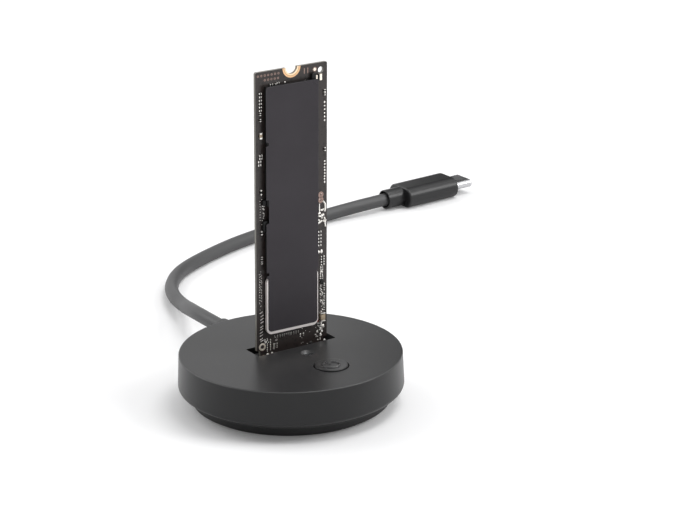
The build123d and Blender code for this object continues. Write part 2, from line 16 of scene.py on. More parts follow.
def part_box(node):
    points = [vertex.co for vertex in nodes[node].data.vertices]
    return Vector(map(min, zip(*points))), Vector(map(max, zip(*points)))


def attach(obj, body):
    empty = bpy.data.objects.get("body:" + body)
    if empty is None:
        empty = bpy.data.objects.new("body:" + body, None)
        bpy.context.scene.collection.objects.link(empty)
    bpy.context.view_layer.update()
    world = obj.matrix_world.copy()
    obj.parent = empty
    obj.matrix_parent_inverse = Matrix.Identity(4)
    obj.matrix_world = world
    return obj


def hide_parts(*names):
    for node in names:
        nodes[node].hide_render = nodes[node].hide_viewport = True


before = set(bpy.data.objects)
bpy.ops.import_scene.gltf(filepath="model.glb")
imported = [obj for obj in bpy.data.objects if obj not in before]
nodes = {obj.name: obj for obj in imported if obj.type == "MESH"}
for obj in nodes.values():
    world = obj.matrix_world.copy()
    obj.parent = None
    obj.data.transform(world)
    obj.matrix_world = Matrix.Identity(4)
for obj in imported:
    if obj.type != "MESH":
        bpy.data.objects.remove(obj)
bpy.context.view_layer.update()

# %% [markdown]
# ## The camera
# The photograph was taken with a long lens, from the button's side and a little
# above. Azimuth, elevation and roll place the line of sight, and two small
# offsets put the puck where it is in the picture, so the lens needs no shift.

# %% Camera
mm = 0.001
puck_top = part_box("top_cover")[1].z
camera_azimuth = math.radians(-33.51)
camera_elevation = math.radians(19.48)
camera_roll = math.radians(-0.48)
camera_distance = 0.7691
camera_right = 0.01568
camera_up = 0.02266
lens_mm = 149.5
sensor_mm = 36
farthest_seen = 20

away = Vector((
    math.sin(camera_azimuth) * math.cos(camera_elevation),
    -math.cos(camera_azimuth) * math.cos(camera_elevation),
    math.sin(camera_elevation),
))
level = Vector((0, 0, 1)).cross(away).normalized()
upright = away.cross(level)
right = level * math.cos(camera_roll) + upright * math.sin(camera_roll)
up = upright * math.cos(camera_roll) - level * math.sin(camera_roll)
camera_data = bpy.data.cameras.new("camera")
camera_data.lens = lens_mm
camera_data.sensor_width = sensor_mm
camera_data.clip_end = farthest_seen
camera = bpy.data.objects.new("camera", camera_data)
bpy.context.scene.collection.objects.link(camera)
place = Vector((0, 0, puck_top)) + away * camera_distance + right * camera_right + up * camera_up
camera.matrix_world = Matrix.Translation(place) @ Matrix((right, up, away)).transposed().to_4x4()
bpy.context.scene.camera = camera
print("camera at", [round(v, 3) for v in place])

# %% [markdown]
# ## Helpers for pieces
# A piece needs a mesh, a material and a body to ride on. One helper links any
# object and says what it rides on, and another turns a bmesh into such an object.
# Round pieces such as the button are turned from half of their section, as on a
# lathe, which needs far fewer numbers than a list of faces.

# %% Helpers for pieces
def add_piece(piece, body, material):
    """Links a piece, gives it its material, and lets it ride on a body."""
    bpy.context.scene.collection.objects.link(piece)
    piece.data.materials.append(material)
    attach(piece, body)
    return piece


def mesh_piece(name, form, body, material, smooth_angle=40):
    """A piece made from a bmesh, shaded smooth up to an angle in degrees."""
    mesh = bpy.data.meshes.new(name)
    bmesh.ops.recalc_face_normals(form, faces=form.faces)
    form.to_mesh(mesh)
    form.free()
    mesh.shade_smooth()
    mesh.set_sharp_from_angle(angle=math.radians(smooth_angle))
    return add_piece(bpy.data.objects.new(name, mesh), body, material)


def turned_form(profile, centre, segments=96):
    """A closed form of revolution from (radius, height) points, about a vertical axis."""
    form = bmesh.new()
    rings = []
    for r, z in profile:
        if r == 0:
            rings.append([form.verts.new((centre.x, centre.y, z))])
            continue
        ring = []
        for i in range(segments):
            turn = 2 * math.pi * i / segments
            x, y = centre.x + r * math.cos(turn), centre.y + r * math.sin(turn)
            ring.append(form.verts.new((x, y, z)))
        rings.append(ring)
    for lower, upper in zip(rings, rings[1:]):
        for i in range(segments):
            j = (i + 1) % segments
            corners = [lower[i % len(lower)], lower[j % len(lower)]]
            corners += [upper[j % len(upper)], upper[i % len(upper)]]
            form.faces.new(dict.fromkeys(corners))
    return form


print("helpers for pieces made")


# %% [markdown]
# ## Surface effects that several materials share
# Grain, rubbed edges and dust are on most of the real surfaces. They could be
# drawn again in each material, but each effect is a node group with its own
# inputs instead, so every material sets it for its own size and strength.

# %% Node group helpers
def new_group(name, inputs, outputs):
    """An empty shader group with float inputs (name, default) and named outputs."""
    group = bpy.data.node_groups.new(name, "ShaderNodeTree")
    for socket_name, value in inputs:
        socket = group.interface.new_socket(
            socket_name, in_out="INPUT", socket_type="NodeSocketFloat"
        )
        socket.default_value = value
    for socket_name, kind in outputs:
        group.interface.new_socket(socket_name, in_out="OUTPUT", socket_type=kind)
    start = group.nodes.new("NodeGroupInput")
    end = group.nodes.new("NodeGroupOutput")
    return group, start, end


def noise_node(tree, scale, detail, roughness=0.5):
    """3-D noise in object space."""
    place_node = tree.nodes.new("ShaderNodeTexCoord")
    noise = tree.nodes.new("ShaderNodeTexNoise")
    noise.inputs["Scale"].default_value = scale
    noise.inputs["Detail"].default_value = detail
    noise.inputs["Roughness"].default_value = roughness
    tree.links.new(place_node.outputs["Object"], noise.inputs["Vector"])
    return noise


def map_range(tree, source, low, high, to_low, to_high):
    """Maps one value onto another range."""
    node = tree.nodes.new("ShaderNodeMapRange")
    limits = {"From Min": low, "From Max": high, "To Min": to_low, "To Max": to_high}
    for socket, value in limits.items():
        node.inputs[socket].default_value = value
    tree.links.new(source, node.inputs["Value"])
    return node


print("node group helpers made")


# %% [markdown]
# ## Moulded grain
# Moulded plastic copies the fine sparked wall of its mould, and its gloss drifts a
# little from place to place. An image of grain would need an unwrapped mesh, so
# noise in object space is used, which has the same grain on every piece.

# %% Moulded grain
def make_grain_group():
    """Fine sparked grain: a bump height and a slow variation of roughness."""
    group, start, end = new_group(
        "moulded_grain",
        [("Grain per metre", 3500), ("Patch per metre", 60), ("Roughness", 0.45), ("Spread", 0.06)],
        [(name, "NodeSocketFloat") for name in ("Height", "Roughness", "Patch")],
    )
    grain = noise_node(group, 3500, 2)
    patch = noise_node(group, 60, 3)
    group.links.new(start.outputs["Grain per metre"], grain.inputs["Scale"])
    group.links.new(start.outputs["Patch per metre"], patch.inputs["Scale"])
    centred = group.nodes.new("ShaderNodeMath")
    centred.operation = "SUBTRACT"
    centred.inputs[1].default_value = 0.5
    group.links.new(patch.outputs["Fac"], centred.inputs[0])
    spread = group.nodes.new("ShaderNodeMath")
    spread.operation = "MULTIPLY_ADD"
    group.links.new(centred.outputs[0], spread.inputs[0])
    group.links.new(start.outputs["Spread"], spread.inputs[1])
    group.links.new(start.outputs["Roughness"], spread.inputs[2])
    group.links.new(grain.outputs["Fac"], end.inputs["Height"])
    group.links.new(spread.outputs[0], end.inputs["Roughness"])
    group.links.new(patch.outputs["Fac"], end.inputs["Patch"])
    return group


grain_group = make_grain_group()
print("group", grain_group.name)


# %% [markdown]
# ## Edge wear
# Handling lightens the corners of a part first. Painting them by hand would be
# slow, so a bevelled normal is compared with the plain one, as the two differ only
# near an edge. A noise breaks the line up, because real wear is patchy.

# %% Edge wear
def make_edge_group():
    """A mask that is 1 close to edges, from the bevelled normal and a noise."""
    group, start, end = new_group(
        "edge_wear",
        [("Radius", 0.0003), ("Amount", 1.0), ("Breakup per metre", 900)],
        [("Mask", "NodeSocketFloat")],
    )
    bevel = group.nodes.new("ShaderNodeBevel")
    bevel.samples = 6
    group.links.new(start.outputs["Radius"], bevel.inputs["Radius"])
    plain = group.nodes.new("ShaderNodeNewGeometry")
    dot = group.nodes.new("ShaderNodeVectorMath")
    dot.operation = "DOT_PRODUCT"
    group.links.new(bevel.outputs["Normal"], dot.inputs[0])
    group.links.new(plain.outputs["Normal"], dot.inputs[1])
    edge = map_range(group, dot.outputs["Value"], 0.99, 0.8, 0, 1)
    breakup = noise_node(group, 900, 3)
    group.links.new(start.outputs["Breakup per metre"], breakup.inputs["Scale"])
    patchy = map_range(group, breakup.outputs["Fac"], 0.3, 0.7, 0.2, 1)
    worn = group.nodes.new("ShaderNodeMath")
    worn.operation = "MULTIPLY"
    group.links.new(edge.outputs[0], worn.inputs[0])
    group.links.new(patchy.outputs[0], worn.inputs[1])
    scaled = group.nodes.new("ShaderNodeMath")
    scaled.operation = "MULTIPLY"
    group.links.new(worn.outputs[0], scaled.inputs[0])
    group.links.new(start.outputs["Amount"], scaled.inputs[1])
    group.links.new(scaled.outputs[0], end.inputs["Mask"])
    return group


edge_group = make_edge_group()
print("group", edge_group.name)


# %% [markdown]
# ## Dust
# Fine specks gather on whatever looks up. Small Voronoi cells give round specks, a
# slow noise keeps them to some areas, and the normal keeps them off the walls.
# Loose grains of mesh would do the same at a thousand times the cost.

# %% Dust
def make_dust_group():
    """A mask of sparse fine specks that settle on faces that look up."""
    group, start, end = new_group(
        "fine_dust", [("Specks per metre", 1600), ("Amount", 0.3)], [("Mask", "NodeSocketFloat")]
    )
    place_node = group.nodes.new("ShaderNodeTexCoord")
    cells = group.nodes.new("ShaderNodeTexVoronoi")
    group.links.new(place_node.outputs["Object"], cells.inputs["Vector"])
    group.links.new(start.outputs["Specks per metre"], cells.inputs["Scale"])
    specks = map_range(group, cells.outputs["Distance"], 0.16, 0.08, 0, 1)
    patch = noise_node(group, 180, 2)
    where = map_range(group, patch.outputs["Fac"], 0.5, 0.65, 0, 1)
    facing = group.nodes.new("ShaderNodeNewGeometry")
    split = group.nodes.new("ShaderNodeSeparateXYZ")
    group.links.new(facing.outputs["Normal"], split.inputs[0])
    upward = map_range(group, split.outputs["Z"], 0.2, 0.9, 0, 1)
    last = start.outputs["Amount"]
    for factor in (specks, where, upward):
        product = group.nodes.new("ShaderNodeMath")
        product.operation = "MULTIPLY"
        group.links.new(last, product.inputs[0])
        group.links.new(factor.outputs[0], product.inputs[1])
        last = product.outputs[0]
    group.links.new(last, end.inputs["Mask"])
    return group


dust_group = make_dust_group()
print("group", dust_group.name)


# %% [markdown]
# ## Moulded plastics and rubbers
# The puck, the button, the lead and the plug are moulded, and so are the packages
# on the boards. A material made by hand for each would repeat itself, so all are
# one recipe with other values: a base colour, its worn edge colour, grain in the
# bump and a roughness that drifts slowly. The recipe can also paint a highlight in
# the worn edge colour on faces that are neither top nor wall, so that the cover's
# rounded rim is lighter than its walls.

# %% Colours and mixes
def srgb(red, green, blue):
    """Linear colour of an 8-bit screen colour."""
    def linear(value):
        share = value / 255
        return share / 12.92 if share <= 0.04045 else ((share + 0.055) / 1.055) ** 2.4
    return (linear(red), linear(green), linear(blue), 1)


def use_group(tree, group, values):
    """Places a shader group in a material and sets its inputs."""
    node = tree.nodes.new("ShaderNodeGroup")
    node.node_tree = group
    for name, value in values.items():
        node.inputs[name].default_value = value
    return node


def mix_colour(tree, factor, first, second):
    """A colour mix; first and second are sockets or colours."""
    mix = tree.nodes.new("ShaderNodeMix")
    mix.data_type = "RGBA"
    tree.links.new(factor, mix.inputs["Factor"])
    for name, value in (("A", first), ("B", second)):
        socket = next(s for s in mix.inputs if s.name == name and s.type == "RGBA")
        if isinstance(value, tuple):
            socket.default_value = value
        else:
            tree.links.new(value, socket)
    return next(s for s in mix.outputs if s.type == "RGBA")


dust_colour = srgb(170, 168, 165)
print("dust colour", [round(c, 3) for c in dust_colour[:3]])


# %% Moulded material recipe
def painted_rim_highlight(tree, rim):
    """A painted highlight on rounded rims, where the normal is neither level nor straight up."""
    place_node = tree.nodes.new("ShaderNodeTexCoord")
    split = tree.nodes.new("ShaderNodeSeparateXYZ")
    tree.links.new(place_node.outputs["Normal"], split.inputs[0])
    above_wall = map_range(tree, split.outputs["Z"], 0.2, 0.6, 0, rim)
    below_top = map_range(tree, split.outputs["Z"], 0.985, 0.9, 0, 1)
    band = tree.nodes.new("ShaderNodeMath")
    band.operation = "MULTIPLY"
    tree.links.new(above_wall.outputs[0], band.inputs[0])
    tree.links.new(below_top.outputs[0], band.inputs[1])
    return band.outputs[0]


patch_shade = 0.88
grain_depth = 0.02 * mm


def moulded(
    name, colour, edge_and_highlight_colour, roughness,
    grain=3500, depth=grain_depth, dust=0.0, wear=0.5, specular=0.5, rim=0.0,
):
    """Moulded plastic or rubber with grain, slow patches, worn edges, dust and a painted highlight on
    rims.
    """
    material = bpy.data.materials.new(name)
    material.use_nodes = True
    tree = material.node_tree
    shader = tree.nodes["Principled BSDF"]
    shader.inputs["Specular IOR Level"].default_value = specular
    grain_node = use_group(tree, grain_group, {"Grain per metre": grain, "Roughness": roughness})
    edge = use_group(tree, edge_group, {"Amount": wear})
    darker = tuple(c * patch_shade for c in colour[:3]) + (1,)
    patch = map_range(tree, grain_node.outputs["Patch"], 0.35, 0.65, 0, 1)
    body_colour = mix_colour(tree, patch.outputs[0], darker, colour)
    colour_with_wear_and_highlight = mix_colour(tree, edge.outputs["Mask"], body_colour, edge_and_highlight_colour)
    # Painted highlight: faces between wall and top take the lighter edge colour, by the share rim.
    if rim > 0:
        colour_with_wear_and_highlight = mix_colour(tree, painted_rim_highlight(tree, rim), colour_with_wear_and_highlight, edge_and_highlight_colour)
    if dust > 0:
        specks = use_group(tree, dust_group, {"Amount": dust})
        colour_with_wear_and_highlight = mix_colour(tree, specks.outputs["Mask"], colour_with_wear_and_highlight, dust_colour)
    tree.links.new(colour_with_wear_and_highlight, shader.inputs["Base Color"])
    tree.links.new(grain_node.outputs["Roughness"], shader.inputs["Roughness"])
    bump = tree.nodes.new("ShaderNodeBump")
    bump.inputs["Distance"].default_value = depth
    bump.inputs["Strength"].default_value = 0.6
    tree.links.new(grain_node.outputs["Height"], bump.inputs["Height"])
    tree.links.new(bump.outputs["Normal"], shader.inputs["Normal"])
    return material


print("moulded recipe made")

# %% Plastics and rubbers
# rim=0.26 paints a highlight in the lighter edge colour on the cover's rounded rims.
cover_plastic = moulded(
    "cover_plastic", srgb(39, 39, 40), srgb(112, 112, 113), 0.34,
    dust=0.25, wear=0.7, specular=0.27, rim=0.26,
)
button_plastic = moulded("button_plastic", srgb(38, 38, 39), srgb(96, 96, 97), 0.31, specular=0.3)
base_plastic = moulded("base_plastic", srgb(24, 24, 25), srgb(60, 60, 60), 0.5, specular=0.35)
foot_rubber = moulded(
    "foot_rubber", srgb(16, 16, 16), srgb(36, 36, 36), 0.7, grain=1800, specular=0.2
)
jacket = moulded("lead_jacket", srgb(66, 66, 67), srgb(80, 80, 80), 0.5, grain=2600)
grommet_rubber = moulded("grommet_rubber", srgb(58, 58, 59), srgb(74, 74, 74), 0.55)
plug_plastic = moulded("plug_plastic", srgb(30, 30, 31), srgb(78, 78, 78), 0.34, specular=0.38)
black_plastic = moulded("black_plastic", srgb(20, 20, 20), srgb(45, 45, 45), 0.5)
package_epoxy = moulded("package_epoxy", srgb(14, 14, 15), srgb(38, 38, 38), 0.55, specular=0.3)
nylon = moulded("nylon", srgb(214, 208, 190), srgb(235, 230, 220), 0.45)
red_plastic = moulded("red_plastic", srgb(150, 30, 26), srgb(190, 70, 60), 0.35)
ferrite = moulded("ferrite", srgb(70, 67, 64), srgb(110, 105, 100), 0.6)
ceramic = moulded("ceramic", srgb(192, 174, 148), srgb(200, 184, 160), 0.5)
print("moulded materials", len(bpy.data.materials))


# %% [markdown]
# ## The lead's route
# The lead leaves the grommet straight, sinks to the desk and curves away to its
# plug. Physics could let it fall, but then its place in the picture would be left
# to chance, so the route is the CAD tube's, point by point.

# %% Route of the lead
lead_diameter = 4.0 * mm
plug_turn = math.radians(3.0)
plug_rear = Vector((110.8, 118.6, 3.2)) * mm
plug_approach = 8.4 * mm
sleeve_mouth = 0.8 * mm
plug_heading = Vector((math.cos(plug_turn), math.sin(plug_turn), 0))
lead_route = [Vector(point) * mm for point in (
    (1.0, 37.0, 9.0),
    (1.0, 47.0, 9.0),
    (3.8, 58.3, 7.0),
    (8.1, 69.9, 3.8),
    (10.8, 80.2, 2.9),
    (16.0, 90.9, 2.0),
    (24.3, 100.1, 2.0),
    (36.6, 106.8, 2.0),
    (53.3, 113.4, 2.0),
    (71.9, 117.2, 2.0),
    (91.0, 119.1, 2.2),
)]
lead_route += [plug_rear - plug_heading * plug_approach, plug_rear + plug_heading * sleeve_mouth]
print("lead points", len(lead_route))

# %% [markdown]
# ## The plug's sleeve
# A short moulded sleeve joins the lead to the plug, and a deep groove in its mouth
# shows as a dark ring round the lead. A boolean could cut the groove, but the
# sleeve is round, so one turned section gives its wall, its rounded lip and the
# groove as a single closed form.

# %% Plug's sleeve
lead_radius = lead_diameter / 2
groove_radius = 2.62 * mm
groove_floor = 1.6 * mm
sleeve_radius = 3.05 * mm
sleeve_length = 6.3 * mm
rounded_lip = [(r * mm, z * mm) for r, z in ((2.62, 0.25), (2.72, 0.06), (2.9, 0.0), (3.02, 0.1))]
sleeve_profile = [
    (0, sleeve_mouth),
    (lead_radius, sleeve_mouth),
    (lead_radius, groove_floor),
    (groove_radius, groove_floor),
    *rounded_lip,
    (sleeve_radius, 0.35 * mm),
    (sleeve_radius, sleeve_length),
    (0, sleeve_length),
]
sleeve_form = turned_form(sleeve_profile, Vector((0, 0)), 64)
sleeve_form.transform(
    Matrix.Translation(plug_rear) @ plug_heading.to_track_quat("Z", "Y").to_matrix().to_4x4()
)
sleeve = mesh_piece("sleeve_bell", sleeve_form, "dock", plug_plastic)
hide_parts("plug_sleeve")
print("sleeve", round(sleeve_length / mm, 1), "mm long")


# %% [markdown]
# ## The lead
# The lead is one round tube along its route, and its bends are even and unkinked.

# %% Lead
def cord_curve(name, points, radius):
    """A smooth round cord along a route."""
    curve = bpy.data.curves.new(name, "CURVE")
    curve.dimensions = "3D"
    curve.bevel_depth = radius
    curve.bevel_resolution = 8
    curve.use_fill_caps = True
    spline = curve.splines.new("NURBS")
    spline.points.add(len(points) - 1)
    for point, place in zip(spline.points, points):
        point.co = (*place, 1)
    spline.order_u = 3
    spline.use_endpoint_u = True
    spline.resolution_u = 24
    return bpy.data.objects.new(name, curve)


lead = add_piece(
    cord_curve("lead_cord", lead_route, lead_radius), "dock", jacket
)
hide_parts("lead")
print("lead", round(lead_diameter / mm, 1), "mm thick")

# %% [markdown]
# ## Rays that see the background
# The desk and the room round the real object are very bright, yet its shadows are
# deep. If the whole background shone that strongly, the shadows would wash out. A
# light path node tells the rays apart instead: the camera, mirror reflections and
# clear parts see the bright background, and the soft light from it stays low.

# %% Rays that see the background
def background_rays(tree):
    """1 for camera, mirror and transmission rays, so metal and glass show the backdrop too."""
    path = tree.nodes.new("ShaderNodeLightPath")
    seen = path.outputs["Is Camera Ray"]
    for ray in ("Is Glossy Ray", "Is Transmission Ray"):
        larger = tree.nodes.new("ShaderNodeMath")
        larger.operation = "MAXIMUM"
        tree.links.new(seen, larger.inputs[0])
        tree.links.new(path.outputs[ray], larger.inputs[1])
        seen = larger.outputs[0]
    return seen


print("background rays ready")


# %% [markdown]
# ## The desk
# The object stands on a plain white desk that runs out of the picture on every
# side. A real desk has thickness and legs, but one large face is all that shows,
# and a little glow lifts it to its near white without more light on the object.

# %% Desk
def stage_face(name, corners):
    """One four-sided face for the desk or a card, not part of the object."""
    mesh = bpy.data.meshes.new(name)
    mesh.from_pydata(corners, [], [(0, 1, 2, 3)])
    face = bpy.data.objects.new(name, mesh)
    bpy.context.scene.collection.objects.link(face)
    return face


desk_size = 6.0
desk_glow = 0.1
desk_white = (0.86, 0.86, 0.865, 1)
half = desk_size / 2
desk = stage_face("desk", [(-half, -half, 0), (half, -half, 0), (half, half, 0), (-half, half, 0)])
desk_paint = bpy.data.materials.new("desk_paint")
desk_paint.use_nodes = True
desk_tree = desk_paint.node_tree
desk_shader = desk_tree.nodes["Principled BSDF"]
desk_shader.inputs["Base Color"].default_value = desk_white
desk_shader.inputs["Roughness"].default_value = 0.55
desk_shader.inputs["Specular IOR Level"].default_value = 0.3
desk_shader.inputs["Emission Color"].default_value = (1, 1, 1, 1)
glow = desk_tree.nodes.new("ShaderNodeMath")
glow.operation = "MULTIPLY"
glow.inputs[1].default_value = desk_glow
desk_tree.links.new(background_rays(desk_tree), glow.inputs[0])
desk_tree.links.new(glow.outputs[0], desk_shader.inputs["Emission Strength"])
desk.data.materials.append(desk_paint)
print("desk", desk_size, "m")


# %% [markdown]
# ## Lamps
# The real shadow is soft and falls to the left, so a soft lamp stands above and to
# the right. A smaller one at the front right lights the walls on that side, and a
# large one behind on the left draws the far rims. A sun lamp would give one hard
# shadow, so all are area lamps, whose size sets how soft a shadow is.

# %% Lamps
def lamp(name, place, target, size, power):
    """A soft square lamp, its size in metres and its power in watts, that looks at a target."""
    light = bpy.data.lights.new(name, "AREA")
    light.shape = "SQUARE"
    light.size = size
    light.energy = power
    piece = bpy.data.objects.new(name, light)
    piece.location = place
    piece.rotation_euler = (Vector(target) - Vector(place)).to_track_quat("-Z", "Y").to_euler()
    bpy.context.scene.collection.objects.link(piece)


lamp("key_lamp", place=(0.35, -0.05, 0.95), target=(0, 0.04, 0.02), size=0.5, power=4.2)
lamp("side_lamp", place=(0.65, -0.5, 0.6), target=(0.03, 0.04, 0.03), size=0.42, power=4.2)
lamp("back_lamp", place=(-0.5, 0.8, 0.7), target=(0, 0.03, 0.02), size=0.8, power=4.6)

# %% [markdown]
# ## A dark card for the reflections
# Glossy plastic shows what stands round it, and the plug's top is darker than the
# bright room alone would make it. A darker plastic would be dark from every side,
# so a dark card stands behind the plug, as in a photographer's studio. Only
# reflections see it: the camera doesn't, and it casts no shadow.

# %% Dark card
card_left, card_right = (0.262, 0.343), (0.496, 0.188)
card_foot, card_head = 0.04, 0.26
card = stage_face("dark_card", [
    (*card_left, card_foot), (*card_right, card_foot), (*card_right, card_head), (*card_left, card_head),
])
card.data.materials.append(black_plastic)
card.visible_camera = False
card.visible_diffuse = False
card.visible_transmission = False
card.visible_shadow = False
print("dark card", round(card_head - card_foot, 2), "m high")

# %% [markdown]
# ## The room
# A pale room surrounds the desk and is lighter behind it than at the front. A
# picture of a room could light the scene, but a plain change of grey by direction
# is as soft, and nothing in it shows up as a shape in the gloss.

# %% Room
room_front = 0.2
room_back = 0.72
lighter_side = (0.45, 0.85, 0.25)
world = bpy.data.worlds.new("room")
world.use_nodes = True
bpy.context.scene.world = world
world_tree = world.node_tree
room = world_tree.nodes["Background"]
room.inputs["Color"].default_value = (1, 1, 1, 1)
direction = world_tree.nodes.new("ShaderNodeTexCoord")
toward_back = world_tree.nodes.new("ShaderNodeVectorMath")
toward_back.operation = "DOT_PRODUCT"
toward_back.inputs[1].default_value = lighter_side
world_tree.links.new(direction.outputs["Generated"], toward_back.inputs[0])
shade = map_range(world_tree, toward_back.outputs["Value"], -0.7, 0.8, room_front, room_back)
strength = world_tree.nodes.new("ShaderNodeMix")
strength.data_type = "FLOAT"
strength.inputs["B"].default_value = 1.0
world_tree.links.new(background_rays(world_tree), strength.inputs["Factor"])
world_tree.links.new(shade.outputs[0], strength.inputs["A"])
world_tree.links.new(strength.outputs["Result"], room.inputs["Strength"])
bpy.context.scene.view_settings.view_transform = "Standard"
print("room from", room_front, "to", room_back)


# %% [markdown]
# ## Metals
# Contacts, screws, solder and the drive's lid are bare or plated metal. A smooth
# mirror would look like chrome, and a scratched image would need unwrapping, so
# the recipe lets the roughness drift finely and makes the rubbed edges lighter.

# %% Metal recipe
metal_wear = 0.4
metal_edge_shine = 1.25


def metal(name, colour, roughness):
    """Bare or plated metal with a drifting roughness and lighter edges."""
    material = bpy.data.materials.new(name)
    material.use_nodes = True
    tree = material.node_tree
    shader = tree.nodes["Principled BSDF"]
    shader.inputs["Metallic"].default_value = 1
    grain_values = {"Grain per metre": 1500, "Patch per metre": 300, "Roughness": roughness}
    grain_node = use_group(tree, grain_group, {**grain_values, "Spread": 0.2})
    edge = use_group(tree, edge_group, {"Radius": 0.1 * mm, "Amount": metal_wear})
    lighter = tuple(min(1, c * metal_edge_shine) for c in colour[:3]) + (1,)
    tinted = mix_colour(tree, edge.outputs["Mask"], colour, lighter)
    tree.links.new(tinted, shader.inputs["Base Color"])
    tree.links.new(grain_node.outputs["Roughness"], shader.inputs["Roughness"])
    return material


gold = metal("contact_gold", srgb(226, 188, 138), 0.34)
steel = metal("screw_steel", srgb(170, 170, 172), 0.35)
plug_steel = metal("plug_steel", srgb(190, 190, 192), 0.28)
solder = metal("solder", srgb(244, 241, 236), 0.34)
lid_metal = metal("lid_metal", srgb(236, 230, 228), 0.55)
can_metal = metal("can_metal", srgb(190, 188, 184), 0.35)
print("metals made")


# %% [markdown]
# ## Boards
# A board is glass laminate with copper tracks under a thin coloured lacquer, so the
# tracks show as faint raised lines and the cut edges are bare. Tracks made as mesh
# would take thousands of faces, so straight-sided Voronoi cells draw them in the
# colour and the bump, and the normal says which faces are cut edges.

# %% Boards
track_depth = 0.02 * mm


def solder_mask(name, colour, track_colour, edge_colour, front_axis, tracks_per_metre=900):
    """Lacquered board with faint raised tracks, and bare laminate on its cut edges."""
    material = bpy.data.materials.new(name)
    material.use_nodes = True
    tree = material.node_tree
    shader = tree.nodes["Principled BSDF"]
    place_node = tree.nodes.new("ShaderNodeTexCoord")
    cells = tree.nodes.new("ShaderNodeTexVoronoi")
    cells.distance = "MANHATTAN"
    cells.inputs["Scale"].default_value = tracks_per_metre
    tree.links.new(place_node.outputs["Object"], cells.inputs["Vector"])
    track = map_range(tree, cells.outputs["Distance"], 0.42, 0.5, 0, 1)
    grain_values = {"Grain per metre": 2500, "Roughness": 0.38, "Spread": 0.15}
    grain_node = use_group(tree, grain_group, grain_values)
    painted = mix_colour(tree, track.outputs[0], colour, track_colour)
    split = tree.nodes.new("ShaderNodeSeparateXYZ")
    tree.links.new(place_node.outputs["Normal"], split.inputs[0])
    flatness = tree.nodes.new("ShaderNodeMath")
    flatness.operation = "ABSOLUTE"
    tree.links.new(split.outputs[front_axis], flatness.inputs[0])
    cut = map_range(tree, flatness.outputs[0], 0.5, 0.2, 0, 1)
    with_edge = mix_colour(tree, cut.outputs[0], painted, edge_colour)
    tree.links.new(with_edge, shader.inputs["Base Color"])
    tree.links.new(grain_node.outputs["Roughness"], shader.inputs["Roughness"])
    bump = tree.nodes.new("ShaderNodeBump")
    bump.inputs["Distance"].default_value = track_depth
    bump.inputs["Strength"].default_value = 0.5
    tree.links.new(track.outputs[0], bump.inputs["Height"])
    tree.links.new(bump.outputs["Normal"], shader.inputs["Normal"])
    return material


laminate = srgb(115, 112, 104)
drive_mask = solder_mask("drive_mask", srgb(30, 25, 24), srgb(45, 38, 36), laminate, "Y")
board_mask = solder_mask("board_mask", srgb(18, 60, 36), srgb(30, 84, 50), laminate, "Z", 600)
print("boards", drive_mask.name, board_mask.name)

# %% [markdown]
# ## Label film and clear resin
# The drive's label is a matt grey film, and the light pipe is clear resin that looks
# grey while its lamp is off. Both take the moulded recipe: the film with a far
# shallower grain, and the resin with a share of transmission, as pure glass would
# show only the dark inside of the puck.

# %% Label film and clear resin
film_grain_depth = 0.006 * mm
resin_clearness = 0.55
label_film = moulded(
    "label_film", srgb(67, 64, 68), srgb(92, 90, 93), 0.5,
    grain=2200, depth=film_grain_depth, specular=0.12,
)
clear_resin = moulded(
    "clear_resin", srgb(84, 86, 88), srgb(205, 206, 208), 0.14, grain=900, dust=0.15
)
resin_shader = clear_resin.node_tree.nodes["Principled BSDF"]
resin_shader.inputs["Transmission Weight"].default_value = resin_clearness
print("materials", len(bpy.data.materials))

# %% [markdown]
# ## Finishes on the CAD solids
# Most solids already have their true shape, so each keeps it and only gets its
# finish. One table from finish to nodes keeps that in one place, where a call for
# each node would be easy to lose.

# %% Finishes by node
finishes = {
    cover_plastic: ["top_cover"],
    base_plastic: ["base_plate"],
    foot_rubber: ["foot_ring"],
    steel: ["cover_screws", "board_screws"],
    board_mask: ["main_board"],
    black_plastic: ["drive_socket", "push_switch", "plug_insert"],
    gold: ["socket_contacts", "drive_contacts"],
    package_epoxy: ["bridge_chip", "power_chip", "flash_chips", "memory_chip", "drive_controller"],
    ferrite: ["power_inductor"],
    can_metal: ["crystal_can"],
    ceramic: ["board_capacitors"],
    red_plastic: ["switch_plunger"],
    nylon: ["status_led", "lead_header"],
    jacket: ["inner_lead"],
    grommet_rubber: ["strain_relief"],
    plug_plastic: ["plug_body"],
    plug_steel: ["plug_shell"],
    drive_mask: ["drive_board"],
    lid_metal: ["controller_lid"],
}
for material, names in finishes.items():
    for name in names:
        materials = nodes[name].data.materials
        for i in range(len(materials)):
            materials[i] = material
        if not materials:
            materials.append(material)
print("finished nodes", sum(len(names) for names in finishes.values()))

# %% [markdown]
# ## A frame of reference on the drive
# The drive stands in its socket and leans a little to the right, within the
# pocket's clearance. Places read off in the desk's axes would all shift with that
# lean, so its small parts are placed in millimetres from the middle of its foot:
# u to the right, v up the board, and out of its front face.

# %% Places on the drive
feature_x = 2.9 * mm
drive_length = 80
drive_lean = math.radians(0.85)
tongue_half = 9.925 * mm
board_low, board_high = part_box("drive_board")
drive_foot = Vector((feature_x, board_low.y, board_low.z + tongue_half * math.sin(drive_lean)))
across = Vector((math.cos(drive_lean), 0, -math.sin(drive_lean)))
along = Vector((math.sin(drive_lean), 0, math.cos(drive_lean)))
outward = Vector((0, -1, 0))
drive_place = (
    Matrix.Translation(drive_foot)
    @ Matrix((across, along, outward)).transposed().to_4x4()
    @ Matrix.Scale(mm, 4)
)
print("drive foot", [round(v / mm, 2) for v in drive_foot])


# %% [markdown]
# ## The plated ring round the fixing notch
# The half-round notch at the drive's head has a gold ring for its screw, with a
# bright inner rim, a darker line in it and a darker outer band. They are far too
# low to show as geometry, so the colour changes with the distance from the
# notch's centre.

# %% Banded gold on the notch ring
band_blend = 0.06 * mm


